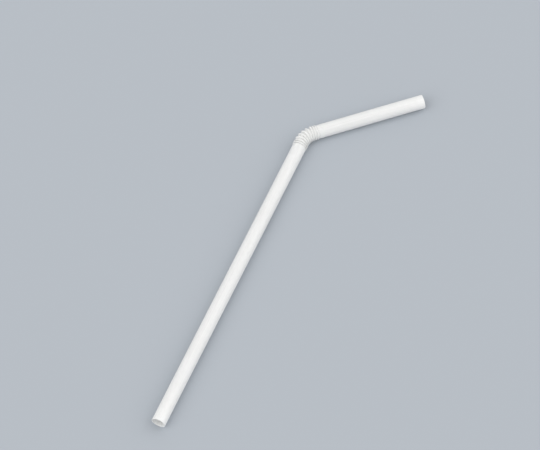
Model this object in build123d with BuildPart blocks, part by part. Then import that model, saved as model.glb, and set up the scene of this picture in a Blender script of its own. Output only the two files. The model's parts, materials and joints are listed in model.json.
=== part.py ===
from build123d import *

import os
from math import asin, atan2, cos, degrees, radians, sin

# Flexible drinking straw, one thin tube of polypropylene, lying bent on its side.
# The long lower tube runs along +X. The bellows turns it in the level plane towards -Y, into the
# short upper tube that is drunk from. The origin is under the middle of the bent straw.
# Sizes are in millimetres.

# Plain tube
tube_diameter = 6.0
wall = 0.2
lower_length = 142.4
upper_length = 47.6

# Bellows, a row of cones that nest in each other where they are closed
fold_count = 9
open_fold_count = 5  # folds in the middle of the row, pulled open on the outside of the bend
ridge_height = 0.3  # of the ridges, above the plain wall
groove_depth = 0.65  # of the grooves, below the plain wall
neck_depth = 0.3  # of the last groove, a shallow neck between the last ridge and the upper tube
closed_pitch = 1.05  # from one ridge to the next where the cones nest
overhang = 0.387  # how far a closed ridge stands back over the groove below it
shoulder_run = 0.35  # along the tube, from the neck up to the plain wall
ridge_strips = 3  # flat strips that round off a ridge

# The wall is creased flat on itself, so the middle of it turns on a circle of half its thickness
fold_radius = wall / 2
tube_radius = tube_diameter / 2
ridge_centre = tube_radius + ridge_height - wall
groove_centre = tube_radius - groove_depth
neck_centre = tube_radius - neck_depth
shoulder_centre = tube_radius - wall

# Each cone narrows towards the upper tube, and so does the lower tube's own end. The last cone is cut
# short where it has come down to the neck.
cone_run = closed_pitch + overhang
cone_slope = (ridge_centre - groove_centre) / cone_run
lower_shoulder_run = (shoulder_centre - groove_centre) / cone_slope
neck_setback = (neck_centre - groove_centre) / cone_slope
closed_folds_below = (fold_count - open_fold_count) // 2

# An open fold stays shut on the inside of the bend and is turned inside out on the outside
turn = degrees(asin(overhang / groove_centre))

# Sides of the bend
OUTSIDE = 1
INSIDE = -1
UP = Vector(0, 0, 1)


# Frames of the grooves, with Z along the tube and X towards the outside of the bend. The last is where
# the groove would be if it were as deep as the others.
def groove_frames():
    first_groove = lower_length + lower_shoulder_run
    frames = [Plane(origin=(first_groove, 0, 0), x_dir=(0, 1, 0), z_dir=(1, 0, 0)).location]
    for fold in range(fold_count):
        is_open = closed_folds_below <= fold < closed_folds_below + open_fold_count
        swing = Location((-groove_centre, 0, 0), (0, -turn if is_open else 0, 0))
        frames.append(frames[-1] * swing * Location((groove_centre, 0, closed_pitch)))
    return frames


# A point of the bend plane, by its place along a frame's axis and its distance from that axis
def place(frame, along, radius, side):
    return (frame * Location((side * radius, 0, along))).position


# Centres of the creases on one side of the bend: a shoulder, grooves and ridges by turns, the neck and
# its shoulder
def crease_centres(frames, side):
    centres = [place(frames[0], -lower_shoulder_run, shoulder_centre, side)]
    for frame, next_frame in zip(frames, frames[1:]):
        centres.append(place(frame, 0, groove_centre, side))
        centres.append(place(next_frame, -cone_run, ridge_centre, side))
    centres.append(place(frames[-1], -neck_setback, neck_centre, side))
    centres.append(place(frames[-1], shoulder_run - neck_setback, shoulder_centre, side))
    return centres


# Directions of the walls between the creases in degrees, counted up away from the tube's axis
def flank_headings(centres, side):
    headings = [0.0]
    for number, (start, end) in enumerate(zip(centres, centres[1:])):
        flank = end - start
        lean = degrees(asin(2 * fold_radius / flank.length))
        heading = degrees(atan2(side * flank.Y, flank.X))
        headings.append(heading + (lean if number % 2 else -lean))
    headings.append(-side * turn * open_fold_count)
    return headings


# Points of one of the wall's two faces on one side of the bend, offset outwards from its middle
def face_points(frames, side, offset):
    points = []
    centres = crease_centres(frames, side)
    headings = flank_headings(centres, side)
    for number, centre in enumerate(centres):
        arriving, leaving = headings[number : number + 2]
        if number % 2:
            sweep = (leaving - arriving) % 360
            reach = offset - fold_radius
        else:
            sweep = -((arriving - leaving) % 360)
            reach = offset + fold_radius
        is_sharp = abs(reach) < fold_radius
        shares = [0.5] if is_sharp else [strip / ridge_strips for strip in range(ridge_strips + 1)]
        for share in shares:
            angle = radians(arriving + sweep * share)
            points.append(centre + Vector(-sin(angle), side * cos(angle), 0) * reach)
    return points


# A ring round the tube, by the two points where it crosses the bend plane
def ring(outside_point, inside_point):
    across = outside_point - inside_point
    middle = (outside_point + inside_point) / 2
    return Edge.make_circle(across.length / 2, Plane(middle, x_dir=(0, 0, 1), z_dir=across.cross(UP)))


# The bellows filled up to one of its wall's two faces, which is a row of bands from ring to ring
def bellows_core(frames, offset):
    crossings = zip(face_points(frames, OUTSIDE, offset), face_points(frames, INSIDE, offset))
    rings = [ring(*pair) for pair in crossings]
    bands = [Face.make_surface_from_curves(*pair) for pair in zip(rings, rings[1:])]
    ends = [Face(Wire(rings[0])), Face(Wire(rings[-1]))]
    return Solid(Shell(bands + ends))


frames = groove_frames()
upper_start = frames[-1] * Location((0, 0, shoulder_run - neck_setback))

with BuildPart() as straw:
    # The bellows
    add(bellows_core(frames, wall / 2))
    add(bellows_core(frames, -wall / 2), mode=Mode.SUBTRACT)

    # The plain tubes, with their mouths cut square
    for plane, length in ((Plane.YZ, lower_length), (Plane(upper_start), upper_length)):
        with BuildSketch(plane):
            Circle(tube_radius)
            Circle(tube_radius - wall, mode=Mode.SUBTRACT)
        extrude(amount=length)

box = straw.part.bounding_box()
resting = straw.part.moved(Location((-box.center().X, -box.center().Y, -box.min.Z)))
resting.label = "straw"

os.makedirs("parts", exist_ok=True)
export_step(resting, "parts/straw.step")
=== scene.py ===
import json
import math

import bmesh
import bpy
from mathutils import Matrix, Vector

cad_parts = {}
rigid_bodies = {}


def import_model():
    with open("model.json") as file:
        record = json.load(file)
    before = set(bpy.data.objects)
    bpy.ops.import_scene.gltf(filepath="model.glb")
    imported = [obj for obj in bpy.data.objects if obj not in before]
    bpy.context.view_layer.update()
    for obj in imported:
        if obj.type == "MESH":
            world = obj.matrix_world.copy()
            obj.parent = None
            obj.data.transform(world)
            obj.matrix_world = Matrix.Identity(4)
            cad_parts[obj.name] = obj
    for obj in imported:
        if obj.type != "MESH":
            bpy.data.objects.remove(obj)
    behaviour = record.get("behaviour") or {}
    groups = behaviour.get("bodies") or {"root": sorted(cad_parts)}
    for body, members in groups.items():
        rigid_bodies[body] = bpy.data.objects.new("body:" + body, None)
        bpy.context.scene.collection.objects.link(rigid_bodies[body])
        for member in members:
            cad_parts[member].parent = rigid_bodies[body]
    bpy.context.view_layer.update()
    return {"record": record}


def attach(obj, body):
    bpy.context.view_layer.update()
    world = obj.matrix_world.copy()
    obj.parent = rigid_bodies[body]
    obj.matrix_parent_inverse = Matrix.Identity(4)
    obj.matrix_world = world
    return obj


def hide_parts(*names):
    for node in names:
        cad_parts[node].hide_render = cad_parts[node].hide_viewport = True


for leftover in list(bpy.data.objects):  # Blender's own start-up cube, lamp and camera
    bpy.data.objects.remove(leftover)

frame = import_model()
print("frame loaded")

mm = 0.001  # the frame is in metres, and the sizes below are in millimetres


# Colours, from sRGB hex to the linear values that the shaders take

def linear(hexColour):
    shares = [int(hexColour[i:i + 2], 16) / 255 for i in (1, 3, 5)]
    return tuple(s / 12.92 if s <= 0.04045 else ((s + 0.055) / 1.055) ** 2.4 for s in shares) + (1.0,)


# Adds a node: values and links go by the input's name or number, and settings are the node's own

def addNode(tree, kind, values={}, links={}, **settings):
    node = tree.nodes.new(kind)
    for name, value in settings.items():
        setattr(node, name, value)
    for name, value in values.items():
        node.inputs[name].default_value = value
    for name, output in links.items():
        tree.links.new(output, node.inputs[name])
    return node


def newTree(holder):  # an empty node tree, of a material or the world
    holder.use_nodes = True
    holder.node_tree.nodes.clear()
    return holder.node_tree


def direction(around, height):  # in degrees, round from the long tube's direction and up from level
    around, height = math.radians(around), math.radians(height)
    return Vector((math.cos(around) * math.cos(height), math.sin(around) * math.cos(height),
                   math.sin(height)))


# The straw is one thin wall, swept ring by ring from the lower mouth to the upper and back inside.
# Its plain tubes lie where the frame's mounts say, and the bellows fills the stretch between them.

straw = {
    "foldCount": 9,
    "openFolds": 5,  # in the middle of the row
    "ridgeHeight": 0.3,  # above the plain wall
    "grooveDepth": 0.65,  # below the plain wall
    "neckDepth": 0.3,  # of the last groove, next to the upper tube
    "closedPitch": 1.05,  # from ridge to ridge where the cones nest
    "shoulderRun": 0.35,  # from the neck up to the plain wall
    "creaseStrips": 6,  # facets that round off a crease
    "rimRadius": 0.05,  # of the cut edge, barely broken
    "rimStrips": 3,
    "ringGap": 4.0,  # about, between the rings of a plain tube
    "segments": 112,  # round the tube
    "mergeWithin": 0.002,  # where the wall closes on its first ring
    "sharpAngle": 35,  # degrees between two faces, from which their edge shows as sharp
}

mounts = {mount["name"]: mount for mount in frame["record"]["mounts"]}


def mountEnds(name):  # both ends of a pin or a bore, the inner end first
    middle = Vector(mounts[name]["pos_m"]) / mm
    half = Vector(mounts[name]["axis"]) * mounts[name]["dims"]["length_mm"] / 2
    return middle - half, middle + half


bellowsStart, lowerMouth = mountEnds("stem")
upperStart, upperMouth = mountEnds("upper_mouth")
outerRadius = mounts["stem"]["dims"]["r_mm"]
innerRadius = mounts["lower_mouth"]["dims"]["r_mm"]
wall = outerRadius - innerRadius
foldRadius = wall / 2  # of the wall's middle, where it is creased flat on itself

# Radii of the wall's middle at the creases
ridgeCentre = outerRadius + straw["ridgeHeight"] - wall
grooveCentre = outerRadius - straw["grooveDepth"]
neckCentre = outerRadius - straw["neckDepth"]
shoulderCentre = outerRadius - wall

# Each open fold takes an equal share of the bend, which says how far a closed ridge stands back over the
# groove below it. The last cone is cut short where it has come down to the neck.
bend = (bellowsStart - lowerMouth).angle(upperMouth - upperStart)
turn = bend / straw["openFolds"]
overhang = grooveCentre * math.sin(turn)
coneRun = straw["closedPitch"] + overhang
coneSlope = (ridgeCentre - grooveCentre) / coneRun
lowerShoulderRun = (shoulderCentre - grooveCentre) / coneSlope
neckSetback = (neckCentre - grooveCentre) / coneSlope
firstOpenFold = (straw["foldCount"] - straw["openFolds"]) // 2

outside, inside = 1, -1  # sides of the bend, which lies in the level plane


def grooveFrames():  # x runs along the tube and y points to the outside of the bend
    frames = [Matrix.Translation(bellowsStart + Vector((lowerShoulderRun, 0, 0)))]
    toInside = Matrix.Translation((0, -grooveCentre, 0))
    onward = Matrix.Translation((straw["closedPitch"], grooveCentre, 0))
    for fold in range(straw["foldCount"]):
        isOpen = firstOpenFold <= fold < firstOpenFold + straw["openFolds"]
        swing = Matrix.Rotation(-turn if isOpen else 0, 4, "Z")
        frames.append(frames[-1] @ toInside @ swing @ onward)
    return frames


def creaseCentres(frames, side):  # a shoulder, grooves and ridges by turns, the neck and its shoulder
    centres = [frames[0] @ Vector((-lowerShoulderRun, side * shoulderCentre, 0))]
    for here, following in zip(frames, frames[1:]):
        centres.append(here @ Vector((0, side * grooveCentre, 0)))
        centres.append(following @ Vector((-coneRun, side * ridgeCentre, 0)))
    centres.append(frames[-1] @ Vector((-neckSetback, side * neckCentre, 0)))
    centres.append(frames[-1] @ Vector((straw["shoulderRun"] - neckSetback, side * shoulderCentre, 0)))
    return centres


def flankHeadings(centres, side):  # of the wall between the creases, counted up away from the axis
    headings = [0.0]
    for number, (start, end) in enumerate(zip(centres, centres[1:])):
        flank = end - start
        lean = math.asin(2 * foldRadius / flank.length)
        heading = math.atan2(side * flank.y, flank.x)
        headings.append(heading + (lean if number % 2 else -lean))
    headings.append(-side * bend)
    return headings


def bellowsPoints(frames, side, offset):  # of one face of the wall, offset outwards from its middle
    points = []
    centres = creaseCentres(frames, side)
    headings = flankHeadings(centres, side)
    for number, centre in enumerate(centres):
        arriving, leaving = headings[number], headings[number + 1]
        if number % 2:
            sweep = (leaving - arriving) % math.tau
            reach = offset - foldRadius
        else:
            sweep = -((arriving - leaving) % math.tau)
            reach = offset + foldRadius
        strips = straw["creaseStrips"]
        shares = [strip / strips for strip in range(strips + 1)]
        if abs(reach) < foldRadius:  # the side of the wall that is folded shut is sharp
            shares = [0.5]
        for share in shares:
            angle = arriving + sweep * share
            points.append(centre + Vector((-math.sin(angle), side * math.cos(angle), 0)) * reach)
    return points


def ringThrough(outsidePoint, insidePoint):  # carries a unit circle round the x axis to its place
    across = outsidePoint - insidePoint
    turned = Matrix.Rotation(math.atan2(-across.x, across.y), 4, "Z")
    moved = Matrix.Translation((outsidePoint + insidePoint) / 2)
    return moved @ turned @ Matrix.Scale(across.length / 2, 4)


def bellowsRings(frames, offset):
    pairs = zip(bellowsPoints(frames, outside, offset), bellowsPoints(frames, inside, offset))
    return [ringThrough(*pair) for pair in pairs]


def squareRing(place, heading, radius):  # square across a plain tube
    return Matrix.Translation(place) @ Matrix.Rotation(heading, 4, "Z") @ Matrix.Scale(radius, 4)


def tubeRings(start, end, heading, radius):  # evenly along a plain tube, without its two ends
    count = round((end - start).length / straw["ringGap"])
    return [squareRing(start.lerp(end, step / count), heading, radius) for step in range(1, count)]


def rimRings(mouth, outward, heading):  # over the cut edge of a mouth, from the outer wall to the inner
    rounding = straw["rimRadius"]
    quarter = [math.pi / 2 * strip / straw["rimStrips"] for strip in range(straw["rimStrips"] + 1)]
    outer = [(1 - math.sin(angle), outerRadius - rounding * (1 - math.cos(angle))) for angle in quarter]
    inner = [(1 - math.cos(angle), innerRadius + rounding * (1 - math.sin(angle))) for angle in quarter]
    inwards = -outward * rounding
    return [squareRing(mouth + inwards * depth, heading, radius) for depth, radius in outer + inner]


def strawRings():  # the whole way round the wall, from inside the lower rim and back to it
    frames = grooveFrames()
    faces = []
    for radius, offset in ((outerRadius, foldRadius), (innerRadius, -foldRadius)):
        lower = tubeRings(lowerMouth, bellowsStart, 0, radius)
        upper = tubeRings(upperStart, upperMouth, -bend, radius)
        faces.append(lower + bellowsRings(frames, offset) + upper)
    outer, inner = faces
    lowerRim = rimRings(lowerMouth, (lowerMouth - bellowsStart).normalized(), 0)
    upperRim = rimRings(upperMouth, (upperMouth - upperStart).normalized(), -bend)
    return lowerRim[::-1] + outer + upperRim + inner[::-1]


def buildStraw():
    mesh = bmesh.new()
    rings = strawRings()
    straightened = mesh.verts.layers.float_vector.new("straightened")  # places on a straight straw

    ring = bmesh.ops.create_circle(mesh, cap_ends=False, segments=straw["segments"], radius=1)["verts"]
    bmesh.ops.rotate(mesh, verts=ring, cent=(0, 0, 0), matrix=Matrix.Rotation(math.pi / 2, 3, "Y"))
    edges = mesh.edges[:]
    last, along = Matrix.Identity(4), 0.0
    for number, following in enumerate(rings + rings[:1]):
        if number:
            grown = bmesh.ops.extrude_edge_only(mesh, edges=edges)["geom"]
            ring = [item for item in grown if isinstance(item, bmesh.types.BMVert)]
            edges = [item for item in grown if isinstance(item, bmesh.types.BMEdge) and item.is_boundary]
            along += (following.translation - last.translation).dot(following.col[0].xyz.normalized())
        for vert in ring:
            vert[straightened] = (last.inverted() @ vert.co * outerRadius + Vector((along, 0, 0))) * mm
        bmesh.ops.transform(mesh, verts=ring, matrix=following @ last.inverted())
        last = following
    bmesh.ops.remove_doubles(mesh, verts=mesh.verts, dist=straw["mergeWithin"])

    bmesh.ops.scale(mesh, verts=mesh.verts, vec=(mm, mm, mm))
    bmesh.ops.recalc_face_normals(mesh, faces=mesh.faces)
    for face in mesh.faces:
        face.smooth = True
    for edge in mesh.edges:
        edge.smooth = edge.calc_face_angle() < math.radians(straw["sharpAngle"])

    data = bpy.data.meshes.new("flexibleStraw")
    mesh.to_mesh(data)
    mesh.free()
    piece = bpy.data.objects.new("flexibleStraw", data)
    bpy.context.scene.collection.objects.link(piece)
    return piece


# White pigmented polypropylene, extruded as a tube and cooled in a sizing sleeve: a satin skin with
# faint lines along the tube, a wall thin enough to let some light through, and a duller bellows,
# because the jaws that pressed the folds have broken the skin.

polypropylene = {
    "colour": "#f8f8f6",
    "thinColour": "#f2f2f0",  # where the wall came out a little thinner
    "thinSize": 16.0,  # mm, of those patches
    "ior": 1.49,
    "satin": 0.27,  # roughness of the tube's skin
    "satinSpread": 0.05,
    "pressed": 0.4,  # roughness of the bellows
    "dieLineGap": 0.5,  # mm round the tube; real ones are finer and would not show
    "dieLineLength": 40.0,  # mm
    "dieLineDepth": 0.004,  # mm
    "pressedGrain": 0.6,  # mm
    "pressedDepth": 0.006,  # mm
    "pressedFade": 2.0,  # mm past the ends of the bellows
    "lightReach": 0.25,  # mm that light spreads inside the wall
}


def strawMaterial():
    look = polypropylene
    material = bpy.data.materials.new("whitePolypropylene")
    tree = newTree(material)

    # Patterns along the wall: lines, patches and grain
    place = addNode(tree, "ShaderNodeAttribute", attribute_name="straightened").outputs["Vector"]
    stretch = (look["dieLineGap"] / look["dieLineLength"], 1, 1)
    drawn = addNode(tree, "ShaderNodeMapping", {"Scale": stretch}, {"Vector": place})
    dieLines = addNode(tree, "ShaderNodeTexNoise",
                       {"Scale": 1 / (look["dieLineGap"] * mm), "Detail": 2.0},
                       {"Vector": drawn.outputs["Vector"]})
    patches = addNode(tree, "ShaderNodeTexNoise",
                      {"Scale": 1 / (look["thinSize"] * mm), "Detail": 1.0}, {"Vector": place})
    grain = addNode(tree, "ShaderNodeTexNoise",
                    {"Scale": 1 / (look["pressedGrain"] * mm), "Detail": 2.0}, {"Vector": place})

    # One at the bellows, fading to nothing on the plain tubes
    middle = (bellowsStart + upperStart) / 2 * mm
    reach = (upperStart - bellowsStart).length / 2 * mm
    spot = addNode(tree, "ShaderNodeTexCoord").outputs["Object"]
    away = addNode(tree, "ShaderNodeVectorMath", {1: middle}, {0: spot}, operation="DISTANCE")
    fade = look["pressedFade"] * mm
    pressed = addNode(tree, "ShaderNodeMapRange",
                      {"From Min": reach, "From Max": reach + fade, "To Min": 1.0, "To Max": 0.0},
                      {"Value": away.outputs["Value"]}, interpolation_type="SMOOTHSTEP").outputs["Result"]

    # A Mix node goes by number: input 0 is the share, 2 and 3 are the two numbers and 6 and 7 the two
    # colours, and output 0 is the mixed number and 2 the mixed colour
    colour = addNode(tree, "ShaderNodeMix", {6: linear(look["thinColour"]), 7: linear(look["colour"])},
                     {0: patches.outputs["Fac"]}, data_type="RGBA")
    satin = addNode(tree, "ShaderNodeMapRange",  # from 0.3 to 0.7, where most of the noise lies
                    {"From Min": 0.3, "From Max": 0.7, "To Min": look["satin"] - look["satinSpread"],
                     "To Max": look["satin"] + look["satinSpread"]}, {"Value": dieLines.outputs["Fac"]})
    roughness = addNode(tree, "ShaderNodeMix", {3: look["pressed"]},
                        {0: pressed, 2: satin.outputs["Result"]}, data_type="FLOAT")
    lines = addNode(tree, "ShaderNodeBump", {"Strength": 1.0, "Distance": look["dieLineDepth"] * mm},
                    {"Height": dieLines.outputs["Fac"]})
    surface = addNode(tree, "ShaderNodeBump", {"Distance": look["pressedDepth"] * mm},
                      {"Strength": pressed, "Height": grain.outputs["Fac"],
                       "Normal": lines.outputs["Normal"]})

    plastic = addNode(tree, "ShaderNodeBsdfPrincipled",
                      {"IOR": look["ior"], "Subsurface Weight": 1.0,
                       "Subsurface Scale": look["lightReach"] * mm,
                       "Subsurface Radius": (1.0, 1.0, 1.0)},  # all colours spread alike
                      {"Base Color": colour.outputs[2], "Roughness": roughness.outputs[0],
                       "Normal": surface.outputs["Normal"]})
    addNode(tree, "ShaderNodeOutputMaterial", {}, {"Surface": plastic.outputs["BSDF"]})
    return material


strawPiece = buildStraw()
strawPiece.data.materials.append(strawMaterial())
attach(strawPiece, "root")
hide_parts("straw")
print("straw built,", len(strawPiece.data.polygons), "faces")


# The studio: a plain pale floor, a soft key light from the left of the camera's view, and a weaker one
# from the right. The world fills in, and shows the floor's colour past the floor's edge.

studio = {
    "floorColour": "#b4bac1",
    "floorSide": 8.0,  # m
    "backdropLevel": 1.05,  # of the floor's colour past its edge, to be as bright as the lit floor
    "worldLight": 0.69,
    "lamps": {  # strength, then in degrees: round from the long tube, up from level, softness
        "keyLight": (0.9, 150, 50, 60),
        "fillLight": (0.7, 300, 40, 60),
    },
}


def buildFloor():
    mesh = bmesh.new()
    bmesh.ops.create_grid(mesh, x_segments=1, y_segments=1, size=studio["floorSide"] / 2)
    data = bpy.data.meshes.new("floor")
    mesh.to_mesh(data)
    mesh.free()
    floor = bpy.data.objects.new("floor", data)
    bpy.context.scene.collection.objects.link(floor)

    # Matt backdrop paper, rolled and uncoated: no shine at all
    material = bpy.data.materials.new("backdropPaper")
    tree = newTree(material)
    paper = addNode(tree, "ShaderNodeBsdfPrincipled",
                    {"Base Color": linear(studio["floorColour"]), "Roughness": 1.0,
                     "Specular IOR Level": 0.0})
    addNode(tree, "ShaderNodeOutputMaterial", {}, {"Surface": paper.outputs["BSDF"]})
    data.materials.append(material)


def buildLamps():
    for name, (strength, around, height, softness) in studio["lamps"].items():
        lamp = bpy.data.lights.new(name, "SUN")
        lamp.energy = strength
        lamp.angle = math.radians(softness)
        lampObject = bpy.data.objects.new(name, lamp)
        towards = direction(around, height)
        lampObject.rotation_euler = towards.to_track_quat("Z", "Y").to_euler()
        lampObject.location = towards  # only for show, because a sun's place changes nothing
        bpy.context.scene.collection.objects.link(lampObject)


def buildWorld():
    world = bpy.data.worlds.new("studioWorld")
    bpy.context.scene.world = world
    tree = newTree(world)
    light = addNode(tree, "ShaderNodeBackground",
                    {"Color": (1, 1, 1, 1), "Strength": studio["worldLight"]})
    shown = addNode(tree, "ShaderNodeBackground",
                    {"Color": linear(studio["floorColour"]), "Strength": studio["backdropLevel"]})

    # The camera sees the second, also in a reflection, and everything else is lit by the first
    rays = addNode(tree, "ShaderNodeLightPath").outputs
    seen = rays["Is Camera Ray"]
    for ray in ("Is Glossy Ray", "Is Transmission Ray"):
        seen = addNode(tree, "ShaderNodeMath", {}, {0: seen, 1: rays[ray]}, operation="MAXIMUM").outputs[0]
    mixed = addNode(tree, "ShaderNodeMixShader", {}, {0: seen, 1: light.outputs[0], 2: shown.outputs[0]})
    addNode(tree, "ShaderNodeOutputWorld", {}, {"Surface": mixed.outputs[0]})


buildFloor()
buildLamps()
buildWorld()
print("studio lit")


# The camera looks down on the straw from beyond its lower mouth, as in the photograph

view = {
    "centre": (10.57, 15.85),  # mm, the place on the floor in the middle of the picture
    "distance": 1245.0,  # mm
    "heading": 23.91,  # degrees from the long tube's direction
    "lookDown": 60.6,  # degrees
    "lens": 196.8,  # mm
    "sensor": 36.0,  # mm
}


def buildCamera():
    camera = bpy.data.cameras.new("camera")
    camera.lens = view["lens"]
    camera.sensor_width = view["sensor"]
    ahead = direction(view["heading"], -view["lookDown"])
    cameraObject = bpy.data.objects.new("camera", camera)
    cameraObject.location = (Vector((*view["centre"], 0)) - ahead * view["distance"]) * mm
    cameraObject.rotation_euler = ahead.to_track_quat("-Z", "Y").to_euler()
    bpy.context.scene.collection.objects.link(cameraObject)
    bpy.context.scene.camera = cameraObject


buildCamera()
bpy.context.scene.view_settings.view_transform = "Standard"
print("camera placed")
